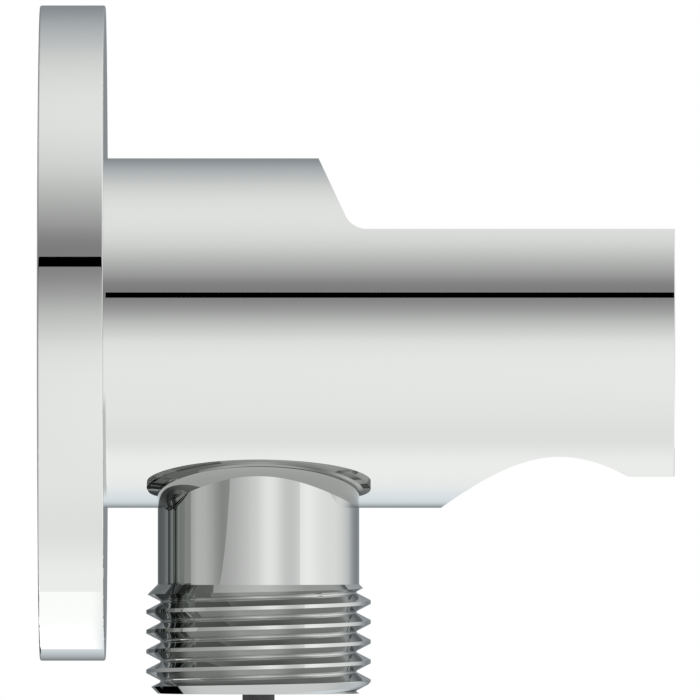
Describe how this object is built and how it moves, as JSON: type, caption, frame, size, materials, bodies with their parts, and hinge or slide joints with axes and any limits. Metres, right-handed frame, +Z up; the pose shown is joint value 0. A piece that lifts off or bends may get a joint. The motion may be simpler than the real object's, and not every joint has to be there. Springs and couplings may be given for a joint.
{
  "type": "wall outlet elbow",
  "caption": "Round wall outlet elbow for a shower hose, with a wall flange, a threaded outlet facing down with a check valve inside, and a forked handset seat at the front.",
  "frame": {"origin": "centre of the inlet's mouth, in the plane of the wall", "axes": "+X out of the wall along the body, +Z up, the outlet points down along -Z"},
  "size_m": [0.058, 0.06, 0.0644],
  "materials": {
    "plated_body": "polished chrome plate on brass",
    "plated_flange": "polished chrome plate on brass",
    "ring_rubber": "black moulded rubber",
    "gasket_foam": "dark grey closed foam",
    "housing_plastic": "white moulded acetal",
    "plunger_plastic": "dark grey moulded acetal",
    "seal_rubber": "black moulded rubber",
    "spring_steel": "drawn stainless wire"
  },
  "bodies": {
    "fitting": {"elbow_body": "plated_body", "wall_flange": "plated_flange", "flange_o_ring": "ring_rubber", "wall_gasket": "gasket_foam", "valve_housing": "housing_plastic", "valve_o_ring": "ring_rubber", "valve_guide": "housing_plastic", "valve_spring": "spring_steel"},
    "plunger": {"valve_plunger": "plunger_plastic", "plunger_seal": "seal_rubber"}
  },
  "joints": [
    {"name": "plunger_lift", "type": "slide", "parent": "fitting", "child": "plunger", "axis": [0, 0, -1], "range_m": [0, 0.0022], "stiffness_N_per_m": 60, "springref_m": -0.0025, "deforming": ["valve_spring"]}
  ]
}
